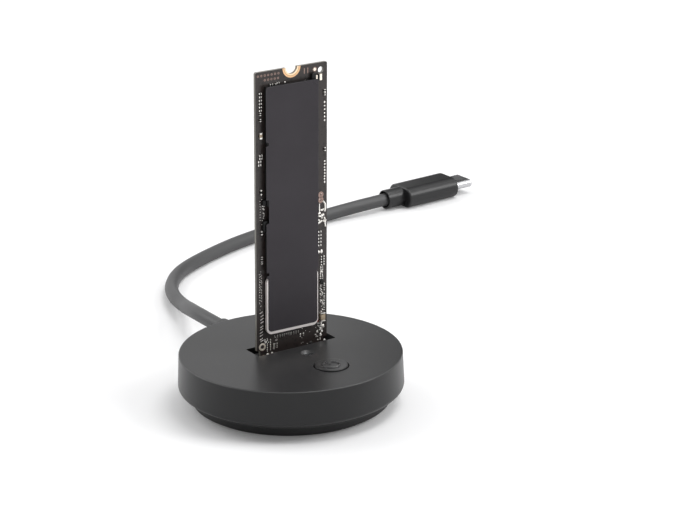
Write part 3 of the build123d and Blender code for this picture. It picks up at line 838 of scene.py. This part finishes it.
def banded_gold(name, centre, bands):
    """Plated metal in bands, each from a radius in millimetres round a centre outwards."""
    material = metal(name, bands[0][1], 0.36)
    tree = material.node_tree
    shader = tree.nodes["Principled BSDF"]
    place_node = tree.nodes.new("ShaderNodeTexCoord")
    distance = tree.nodes.new("ShaderNodeVectorMath")
    distance.operation = "DISTANCE"
    distance.inputs[1].default_value = centre
    tree.links.new(place_node.outputs["Object"], distance.inputs[0])
    colour = bands[0][1]
    for radius, band_colour in bands[1:]:
        start = radius * mm
        step = map_range(tree, distance.outputs["Value"], start, start + band_blend, 0, 1)
        colour = mix_colour(tree, step.outputs[0], colour, band_colour)
    tree.links.new(colour, shader.inputs["Base Color"])
    return material


notch_ring = nodes["notch_ring"]
notch_centre = notch_ring.matrix_world.inverted() @ drive_place @ Vector((0, drive_length, 0))
ring_gold = banded_gold("ring_gold", notch_centre, [
    (0, srgb(244, 216, 182)),
    (2.16, srgb(176, 134, 96)),
    (2.28, srgb(228, 186, 144)),
    (2.72, srgb(150, 124, 92)),
])
notch_ring.data.materials[0] = ring_gold
print("notch ring centre", [round(v / mm, 2) for v in notch_centre])


# %% [markdown]
# ## Shapes of the drive's small parts
# Soldered parts are little blocks, beads and round pads. Separate objects for each
# would be hundreds, so every helper adds its shape to a bmesh that is shared, and a
# whole group of parts becomes one piece that rides on the drive.

# %% Block, dome and disc helpers
def add_block(form, size, centre, bevel=0.0):
    """A block in a bmesh, with its edges rounded."""
    place = Matrix.Translation(centre) @ Matrix.Diagonal((*size, 1))
    made = bmesh.ops.create_cube(form, size=1, matrix=place)
    if bevel > 0:
        edges = list({edge for vert in made["verts"] for edge in vert.link_edges})
        bmesh.ops.bevel(form, geom=edges, offset=bevel, segments=2, profile=0.6, affect="EDGES")


def add_dome(form, radius, height, centre, stretch=1.0):
    """A rounded bead of solder, half sunk in the board."""
    place = Matrix.Translation(centre) @ Matrix.Diagonal((radius, radius * stretch, height, 1))
    bmesh.ops.create_icosphere(form, subdivisions=2, radius=1, matrix=place)


def add_disc(form, radius, height, centre, inner=0.0, segments=24):
    """A thin round pad, or a ring with an inner radius."""
    outline = [(radius, 0), (radius, height * 0.7), (radius - height * 0.3, height)]
    if inner > 0:
        outline += [(inner + height * 0.3, height), (inner, height * 0.7), (inner, 0)]
    rings = []
    for r, z in outline:
        ring = []
        for i in range(segments):
            turn = 2 * math.pi * i / segments
            point = Vector((r * math.cos(turn), r * math.sin(turn), z)) + Vector(centre)
            ring.append(form.verts.new(point))
        rings.append(ring)
    for lower, upper in zip(rings, rings[1:]):
        for i in range(segments):
            j = (i + 1) % segments
            form.faces.new((lower[i], lower[j], upper[j], upper[i]))
    if inner == 0:
        form.faces.new(rings[-1])


def finish_on_drive(name, form, material):
    """Turns a form in drive millimetres into a piece that moves with the drive."""
    form.transform(drive_place)
    return mesh_piece(name, form, "drive", material)


print("helpers for small parts made")


# %% [markdown]
# ## Small parts along the drive's edges
# Tiny capacitors and resistors are soldered along both edges. Each is a body with
# a bright cap on both ends, so one function places a body and its two caps, and
# three pieces hold all the dark bodies, all the tan ones and all the caps. They
# were counted one by one, as an even array would look like a toy.

# %% Chip part helpers
dark_parts = bmesh.new()
tan_parts = bmesh.new()
end_caps = bmesh.new()


def chip_part(u, v, length=1.0, width=0.5, height=0.42, upright=True, tan=False, cap_share=0.27):
    """One soldered part: a body between two bright end caps."""
    body = tan_parts if tan else dark_parts
    cap = length * cap_share
    run = Vector((0, 1, 0)) if upright else Vector((1, 0, 0))
    centre = Vector((u, v, height / 2))
    size = (width, length * 0.6, height) if upright else (length * 0.6, width, height)
    add_block(body, size, centre, 0.04)
    cap_size = (width * 1.08, cap, height * 1.08) if upright else (cap, width * 1.08, height * 1.08)
    for side in (-1, 1):
        add_block(end_caps, cap_size, centre + run * side * (length - cap) / 2, 0.06)


def chip_run(u, start, end, count, **how):
    """Chip parts evenly spaced up one edge of the drive."""
    for i in range(count):
        chip_part(u, start + (end - start) * i / max(1, count - 1), **how)


print("chip part helpers made")

# %% Chip parts
# Up the left edge, from the foot
chip_run(-9.45, 28.5, 29.8, 2, length=0.7, width=0.5)
chip_part(-9.4, 36.7, length=1.1, width=0.5)
chip_part(-9.55, 47.8, length=1.5, width=0.4)
chip_run(-10.0, 55.3, 56.2, 2, length=0.85, width=0.55, upright=False)
chip_run(-9.65, 57.0, 57.8, 2, length=0.9, width=0.5, upright=False)
chip_part(-9.55, 63.1, length=1.7, width=0.75, height=0.5, tan=True)
chip_run(-9.7, 67.3, 68.9, 2, length=0.75, width=0.45)
chip_run(-9.7, 69.9, 74.4, 6, length=0.8, width=0.4, upright=False, cap_share=0.33)

# Along the right edge
chip_run(10.1, 71.4, 72.3, 2, length=0.7, width=0.5)
chip_part(10.2, 56.4, length=1.0, width=0.42)
chip_run(8.55, 30.1, 33.9, 5, length=0.95, width=0.42, upright=False)
chip_run(9.47, 24.6, 26.8, 4, length=1.1, width=0.34, upright=False)
chip_run(8.8, 17.7, 20.5, 4, length=0.6, width=0.42)
chip_run(9.95, 17.6, 18.9, 2, length=0.7, width=0.4)
chip_run(9.95, 12.0, 16.0, 5, length=0.7, width=0.42, cap_share=0.24)
chip_run(9.1, 14.1, 16.2, 2, length=0.7, width=0.36, upright=False)
chip_part(9.4, 9.8, length=2.4, width=1.35, height=0.8, tan=True, cap_share=0.12)
chip_run(8.6, 7.3, 8.2, 2, length=0.7, width=0.4, upright=False)

# Along the top
chip_part(-6.3, 76.3, length=0.9, width=0.5, upright=False)
chip_part(-5.0, 76.0, length=0.9, width=0.5)
chip_part(-4.3, 76.5, length=0.8, width=0.45, upright=False)

# Larger dark parts without caps: size, middle and rounding
for size, middle, rounding in (
    ((1.25, 2.3, 0.9), (6.45, 76.4, 0.45), 0.06),
    ((1.3, 3.0, 0.9), (-8.6, 38.4, 0.45), 0.08),
    ((1.2, 1.5, 0.8), (-8.7, 44.9, 0.4), 0.08),
    ((1.0, 1.2, 0.7), (9.15, 19.8, 0.35), 0.08),
    ((0.5, 1.6, 0.55), (8.05, 76.2, 0.28), 0.05),
):
    add_block(dark_parts, size, middle, rounding)

part_bodies = finish_on_drive("drive_dark_parts", dark_parts, package_epoxy)
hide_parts("drive_passives", "drive_inductors")
finish_on_drive("drive_tan_parts", tan_parts, ceramic)
finish_on_drive("drive_part_caps", end_caps, solder)
print("faces on dark parts", len(part_bodies.data.polygons))


# %% [markdown]
# ## Ridges along a path
# Strips of solder, the crease in the label and the power symbol are all low arched
# ridges that follow a path. A curve with a bevel could make them, but it wouldn't
# follow a dished face, so a small section is swept along the path by hand, at the
# height that the face under it has.

# %% Ridges along a path
ridge_section = [(-0.5, -0.3), (-0.42, 0.55), (-0.2, 0.95), (0.2, 0.95), (0.42, 0.55), (0.5, -0.3)]


def flat_level(x, y):
    """Height of the drive's own face, where its small parts stand."""
    return 0.0


def add_ridge(form, path, width, height, level=flat_level):
    """A low arched ridge along a path of (x, y) places, on a surface of given height."""
    rows = []
    for i, here in enumerate(path):
        before, after = path[max(0, i - 1)], path[min(len(path) - 1, i + 1)]
        run = (Vector(after) - Vector(before)).normalized()
        side = Vector((-run.y, run.x))
        row = []
        for offset, rise in ridge_section:
            x, y = Vector(here) + side * offset * width
            row.append(form.verts.new((x, y, level(x, y) + rise * height)))
        rows.append(row)
    for row, following in zip(rows, rows[1:]):
        for j in range(len(ridge_section) - 1):
            form.faces.new((row[j], row[j + 1], following[j + 1], following[j]))
    form.faces.new(rows[0])
    form.faces.new(list(reversed(rows[-1])))


print("ridge section of", len(ridge_section), "points")


# %% [markdown]
# ## Solder dots and strips
# Between the parts are rows of solder dots, and thick curved strips of solder lie
# below the pair of round pads on the right. They could be a bump in the board, but
# they catch the light as beads do, so they are low domes and ridges, given one by
# one. A fixed seed scatters them a little, because even rows look drawn.

# %% Solder dots
random.seed(7)
dots = bmesh.new()


def dot_run(u, start, end, count, radius, scatter=0.0):
    """Solder dots up one edge of the drive."""
    for i in range(count):
        v = start + (end - start) * i / max(1, count - 1)
        slip = Vector((random.uniform(-1, 1), random.uniform(-1, 1), 0)) * scatter
        add_dome(dots, radius, radius * 0.7, Vector((u, v, 0)) + slip, random.uniform(0.9, 1.3))


# Bright round dots along the right edge
dot_run(10.2, 64.2, 69.1, 6, 0.25)
dot_run(10.25, 47.3, 53.0, 8, 0.26, 0.05)
dot_run(10.28, 2.9, 2.9, 1, 0.34)
dot_run(8.33, 28.15, 28.15, 1, 0.42)
dot_run(9.24, 28.15, 28.15, 1, 0.46)
# Fine rows beside the packages and at the foot
dot_run(9.06, 21.1, 23.9, 7, 0.15, 0.05)
dot_run(9.66, 21.1, 23.9, 7, 0.15, 0.05)
dot_run(-7.6, 6.0, 6.9, 4, 0.12, 0.3)
dot_run(-5.0, 5.6, 6.9, 6, 0.11, 0.6)
dot_run(4.4, 4.4, 6.8, 8, 0.1, 1.6)
dot_run(-10.05, 17.4, 25.3, 12, 0.12, 0.06)
dot_run(-9.45, 17.6, 25.0, 10, 0.1, 0.06)
dot_run(-9.0, 43.2, 45.4, 4, 0.16)
dot_run(-8.55, 41.9, 43.8, 3, 0.15)
dot_run(-9.75, 40.2, 45.4, 8, 0.1, 0.05)
# Loose dots at the lower corners and beside the tall parts
dot_run(8.8, 3.4, 7.8, 18, 0.14, 0.85)
dot_run(9.4, 10.8, 24.0, 18, 0.15, 0.45)
dot_run(-9.6, 15.6, 26.0, 20, 0.09, 0.35)
dot_run(-8.9, 38.0, 46.0, 14, 0.13, 0.35)
dot_run(9.6, 11.0, 17.0, 11, 0.15, 0.4)
dot_run(9.4, 4.6, 6.2, 5, 0.24, 0.4)
dot_run(8.2, 3.6, 6.6, 18, 0.12, 0.85)
dot_run(-7.76, 3.4, 5.4, 5, 0.14)
dot_run(-6.75, 3.6, 6.5, 7, 0.14)
dot_run(-4.7, 3.9, 5.0, 3, 0.14)
dot_run(-8.2, 5.8, 6.8, 5, 0.15, 0.4)
# Single flatter dots
for u, v, radius in (
    (8.75, 42.7, 0.16), (9.3, 44.2, 0.14),
    (-7.71, 2.4, 0.38), (-6.3, 2.55, 0.34), (-2.0, 76.25, 0.24), (4.2, 75.75, 0.28),
    (2.66, 6.1, 0.22), (3.61, 6.15, 0.2), (2.63, 5.5, 0.18), (9.21, 7.9, 0.3), (9.85, 7.2, 0.36),
):
    add_dome(dots, radius, radius * 0.6, (u, v, 0))
print("faces on dots", len(dots.faces))

# %% Solder strips
strip_width, strip_height = 0.55, 0.28
stroke_width, stroke_height = 0.2, 0.16
# One strip low on the left, then those round the pads on the right and below them
strips = [
    [(-5.75, 5.2), (-5.65, 4.4), (-5.75, 3.6)],
    [(8.55, 41.6), (8.5, 40.4), (8.56, 39.2)],
    [(9.7, 42.2), (10.4, 41.3), (10.5, 40.2), (10.25, 39.2)],
    [(8.0, 38.85), (8.9, 38.9)],
    [(8.3, 38.1), (9.1, 38.0), (10.0, 38.2)],
    [(9.7, 38.7), (9.8, 38.0)],
    [(8.9, 39.9), (9.4, 39.6), (9.9, 39.95)],
    [(9.15, 38.6), (9.35, 37.4)],
    [(8.1, 37.2), (8.6, 36.95)],
    [(9.7, 36.95), (10.05, 36.3)],
    [(10.0, 37.7), (10.35, 37.1)],
    [(8.0, 36.1), (8.7, 36.4), (9.4, 36.8)],
    [(10.6, 36.9), (10.3, 36.0), (10.5, 35.0)],
    [(8.75, 16.4), (9.3, 15.9)],
    [(8.9, 14.7), (9.35, 14.1), (9.6, 13.6)],
    [(9.7, 13.5), (10.1, 12.7)],
    [(9.0, 7.6), (9.6, 7.1), (10.0, 6.7)],
]
for path in strips:
    add_ridge(dots, path, strip_width, strip_height)
# Slanted solder strokes up the left edge from the plated hole
for v in (6.6, 7.2, 8.2, 9.0, 9.9, 10.6, 11.8, 12.7, 13.6, 14.6):
    tail = random.uniform(-0.2, 0.15)
    stroke = [(-9.95 + tail, v - 0.2), (-9.5, v), (-9.05 + tail, v + 0.22)]
    add_ridge(dots, stroke, stroke_width, stroke_height)
print("faces on dots and strips", len(dots.faces))

# %% [markdown]
# ## Feet of the controller's lid
# The metal lid is soldered down by a row of small feet below it, which show as
# upright ticks of uneven length. Equal ones would read as a printed scale, so each
# is a little block that hangs down from one line by a random length.

# %% Lid's feet
feet_top = 7.4
foot_width, foot_height = 0.22, 0.2
lid_feet = bmesh.new()
for u in (-5.5, -4.6, -3.8, -3.1, -2.5, -1.9, -1.3, -0.7, -0.3, 0.5, 1.2, 1.9):
    tall = random.uniform(0.6, 0.95)
    middle = (u, feet_top - tall / 2, foot_height / 2)
    add_block(lid_feet, (foot_width, tall, foot_height), middle, 0.06)
print("faces on lid feet", len(lid_feet.faces))

# %% [markdown]
# ## Test pads and the plated hole
# Round tinned pads stand in two rows at the drive's head and in a pair on the
# right, and a plated hole is at the lower left. Flat circles would lose their
# bright rims, so each is a thin disc with a bevelled edge, or a ring with a bore.

# %% Test pads and the plated hole
pads = bmesh.new()
test_pad_radius, test_pad_bore = 0.3, 0.14
for start, v, pitch, count in ((-10.2, 78.95, 1.04, 7), (-8.1, 77.7, 1.0, 5)):
    for i in range(count):
        add_disc(pads, test_pad_radius, 0.04, (start + pitch * i, v, 0), test_pad_bore, 14)
for u in (3.95, 5.0):
    add_block(pads, (0.28, 1.5, 0.04), (u, 78.4, 0.02), 0.01)
for v in (42.5, 43.95):
    add_disc(pads, 0.85, 0.06, (9.08, v, 0), 0.2)

bright_pads = bmesh.new()
round_pad = (7.16, 78.38, 0)
plated_hole = (-9.32, 4.85, 0)
add_disc(bright_pads, 0.4, 0.06, round_pad)
add_disc(pads, 0.62, 0.05, round_pad, 0.4)
add_disc(bright_pads, 1.05, 0.1, plated_hole, 0.58)
add_block(bright_pads, (0.5, 1.15, 0.5), (7.5, 76.3, 0.25), 0.1)
add_block(bright_pads, (0.75, 1.7, 0.5), (8.78, 76.15, 0.25), 0.12)

mark = bmesh.new()
add_block(mark, (0.3, 1.0, 0.12), (8.1, 9.0, 0.06), 0.03)
print("faces on pads", len(pads.faces) + len(bright_pads.faces))

# %% Pieces from the dots, feet and pads
tin = metal("tinned_pad", srgb(150, 128, 120), 0.4)
cream_tin = metal("cream_tin", srgb(250, 240, 226), 0.42)
finish_on_drive("drive_solder_dots", dots, solder)
finish_on_drive("drive_test_pads", pads, tin)
finish_on_drive("drive_lid_feet", lid_feet, can_metal)
finish_on_drive("drive_bright_pads", bright_pads, cream_tin)
finish_on_drive("drive_red_marks", mark, red_plastic)
print("dots and pads done")


# %% [markdown]
# ## The label
# A long thin film covers the packages. It is narrower over the controller, where
# the lid's bright edge shows round it, and three notches are cut into its left
# edge, the longest beside two tall parts. A boolean could cut them, but its small
# radii would be lost, so the outline is a list of corners, each with its own radius.

# %% Label's outline
lid_foot = 8.46
lid_head = 24.31
label_left, label_right, label_head = -8.65, 7.45, 76.1
cut_in = 0.8


def rounded_outline(corners, steps=6):
    """Points of a closed outline whose corners are (x, y, radius)."""
    points = []
    for i, (x, y, radius) in enumerate(corners):
        here = Vector((x, y))
        before = (Vector(corners[i - 1][:2]) - here).normalized()
        after = (Vector(corners[(i + 1) % len(corners)][:2]) - here).normalized()
        start, end = here + before * radius, here + after * radius
        for step in range(steps + 1):
            t = step / steps
            points.append(start * (1 - t) ** 2 + here * 2 * t * (1 - t) + end * t**2)
    return points


def notch(foot, head):
    """Corners of a notch in the label's left edge, listed downwards."""
    outside, inside = label_left, label_left + cut_in
    return [
        (outside, head, 0.15), (inside, head, 0.25), (inside, foot, 0.25), (outside, foot, 0.15)
    ]


label_corners = [
    (-8.15, lid_foot + 0.75, 1.1),
    (7.15, lid_foot + 0.75, 1.1),
    (7.15, lid_head, 0.1),
    (label_right, lid_head, 0.1),
    (label_right, label_head, 0.6),
    (label_left, label_head, 0.6),
    *notch(60.3, 61.4),
    *notch(39.2, 45.8),
    *notch(24.9, 25.7),
    (label_left, lid_head, 0.1),
    (-8.15, lid_head - 0.3, 0.1),
]
outline = rounded_outline(label_corners)
print("label outline of", len(outline), "points")

# %% Label's film
package_height = 1.3
film = 0.12
label = bmesh.new()
label_centre = Vector(((label_left + label_right) / 2, (lid_foot + label_head) / 2))
rings = []
for rise, inset in ((0, 0), (film * 0.7, 0), (film, 0.03)):
    ring = []
    for point in outline:
        place = point + (label_centre - point).normalized() * inset
        ring.append(label.verts.new((*place, package_height + rise)))
    rings.append(ring)
for lower, upper in zip(rings, rings[1:]):
    for i in range(len(outline)):
        j = (i + 1) % len(outline)
        label.faces.new((lower[i], lower[j], upper[j], upper[i]))
label.faces.new(rings[-1])
label.faces.new(list(reversed(rings[0])))


def label_level(x, y):
    """Height of the label's face."""
    return package_height + film


crease = [(5.5, 75.0), (6.2, 75.15), (6.9, 74.9), (7.2, 74.5)]
add_ridge(label, crease, 0.2, 0.07, label_level)
label_sheet = finish_on_drive("label_sheet", label, label_film)
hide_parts("drive_label")
print("label", round(label_head - lid_foot, 1), "mm long")


# %% [markdown]
# ## Back of the drive
# The photograph doesn't show the back. Drives of this kind leave it bare but for
# rows of plated holes under each package. A pattern in the board's material could
# draw them, but then it would also be on the front, so they are thin rings in a
# loop, made on the front face and turned over to the back.

# %% Plated holes on the back
board_thickness = board_high.y - board_low.y
rows, row_pitch = 6, 1.7
columns, column_pitch, first_column = 8, 1.6, -5.6
back_rings = bmesh.new()
for start in (10.0, 27.5, 46.0, 63.0):
    for row in range(rows):
        for column in range(columns):
            place = (first_column + column_pitch * column, start + row_pitch * row, 0)
            add_disc(back_rings, 0.26, 0.03, place, 0.12, 12)
bmesh.ops.transform(
    back_rings,
    matrix=Matrix.Translation((0, 0, -board_thickness / mm)) @ Matrix.Diagonal((1, 1, -1, 1)),
    verts=back_rings.verts,
)
finish_on_drive("drive_back_holes", back_rings, tin)
print("board thickness", round(board_thickness / mm, 2), "mm")


# %% [markdown]
# ## The power button
# The cap stands a hair proud of the cover, with a rounded edge and a narrow gap
# round it, so a dark line shows round its near side. A bevelled cylinder would
# have no dish, so it is one turned form: a shallow dish on top, the rounded edge,
# the wall, the retaining flange under the cover and the post.

# %% Button cap
button_low, button_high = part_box("power_button")
button_centre = Vector((feature_x, (button_low.y + button_high.y) / 2))
button_radius = 4.42 * mm
button_dish = 0.12 * mm
button_proud = 0.32 * mm
edge_radius = 0.16 * mm
flange_radius = (button_high.y - button_low.y) / 2
cover_thickness = 2.0 * mm
flange_thickness = 0.7 * mm
flange_top = puck_top - cover_thickness
flange_bottom = flange_top - flange_thickness
post_radius = 1.9 * mm
cap_top = button_high.z + button_proud
dish_radius = button_radius - edge_radius


def cap_height(x, y):
    """Height of the dished cap at a place on it, measured from its middle."""
    return cap_top - button_dish * (1 - (x * x + y * y) / dish_radius**2)


profile = [(0, cap_height(0, 0))]
profile += [(dish_radius * i / 8, cap_height(dish_radius * i / 8, 0)) for i in range(1, 9)]
for i in range(1, 6):
    turn = math.pi / 2 * i / 5
    outwards, downwards = edge_radius * math.sin(turn), edge_radius * (1 - math.cos(turn))
    profile.append((dish_radius + outwards, cap_top - downwards))
profile += [
    (button_radius, flange_top),
    (flange_radius, flange_top),
    (flange_radius, flange_bottom),
    (post_radius, flange_bottom),
    (post_radius, button_low.z),
    (0, button_low.z),
]
cap_form = turned_form(profile, button_centre)
button_cap = mesh_piece("button_cap", cap_form, "button", button_plastic)
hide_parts("power_button")
print("cap stands proud by", round(button_proud / mm, 2), "mm")

# %% [markdown]
# ## The light pipe
# A clear post carries the status light up through the cover and ends in a dished
# face, which catches the light on its far side. The CAD solid's end is flat, which
# would be one even grey, so the post is turned again with the dish in it.

# %% Light pipe
lens_low, lens_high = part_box("light_pipe")
lens_centre = Vector((feature_x, (lens_low.y + lens_high.y) / 2))
lens_radius = 1.25 * mm
lens_flange = (lens_high.y - lens_low.y) / 2
lens_dish = 0.42 * mm
lens_steps = 8
lens_profile = [
    (0, lens_low.z),
    (lens_radius, lens_low.z),
    (lens_radius, flange_bottom),
    (lens_flange, flange_bottom),
    (lens_flange, flange_top),
    (lens_radius, flange_top),
]
for i in range(lens_steps + 1):
    turn = math.pi / 2 * i / lens_steps
    rim = lens_radius * math.cos(turn) if i < lens_steps else 0
    lens_profile.append((rim, lens_high.z - lens_dish * math.sin(turn)))
lens_form = turned_form(lens_profile, lens_centre, 48)
light_lens = mesh_piece("light_lens", lens_form, "dock", clear_resin, 60)
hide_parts("light_pipe")
print("lens rim", round(lens_high.z / mm, 2), "mm above the desk")

# %% [markdown]
# ## The power symbol
# The usual sign for power, a broken ring with a bar, stands on the cap. An image
# would be flat from the side, so it is a low ridge that follows the dished face
# and rides on the button, and its glossier plastic lets its edges catch the light.

# %% Power symbol
ridge_width = 0.5 * mm
ridge_height = 0.24 * mm
ring_radius = 2.15 * mm
ring_break = math.radians(62)
ring_steps = 40
bar_steps = 6
bar_start, bar_length = 0.25, 0.95
symbol = bmesh.new()
opening = math.pi / 2 + ring_break / 2
sweep = 2 * math.pi - ring_break
ring_path = []
for i in range(ring_steps + 1):
    turn = opening + sweep * i / ring_steps
    ring_path.append((ring_radius * math.cos(turn), ring_radius * math.sin(turn)))
add_ridge(symbol, ring_path, ridge_width, ridge_height, cap_height)
# The bar's start and length are shares of the ring's radius
bar_path = [(0, ring_radius * (bar_start + bar_length * i / bar_steps)) for i in range(bar_steps + 1)]
add_ridge(symbol, bar_path, ridge_width, ridge_height, cap_height)
symbol.transform(Matrix.Translation((button_centre.x, button_centre.y, 0)))
symbol_plastic = moulded("symbol_plastic", srgb(52, 52, 53), srgb(118, 118, 118), 0.2)
mesh_piece("power_symbol", symbol, "button", symbol_plastic, 60)
print("symbol ring", round(2 * ring_radius / mm, 2), "mm")


# %% [markdown]
# ## Contacts in the plug
# Looking into the plug's shell shows a row of gold contacts above and below a gap
# in its liner. An array modifier could repeat them, but two short loops say the
# count and the pitch in plain sight, and the blades are one piece.

# %% Plug contacts
plug_place = Matrix.Translation(plug_rear) @ Matrix.Rotation(plug_turn, 4, "Z")
shell_start = 25.7
blade_count, blade_pitch = 12, 0.5
blade_middle, blade_level = 3.6, 0.36
blade_size = Vector((3.4, 0.24, 0.08))
blades = bmesh.new()
for side in (-1, 1):
    for i in range(blade_count):
        y = (i - (blade_count - 1) / 2) * blade_pitch
        place = Vector((shell_start + blade_middle, y, side * blade_level)) * mm
        add_block(blades, blade_size * mm, place)
blades.transform(plug_place)
plug_contacts = mesh_piece("plug_contacts", blades, "dock", gold)
print("plug contacts", len(plug_contacts.data.polygons), "faces")
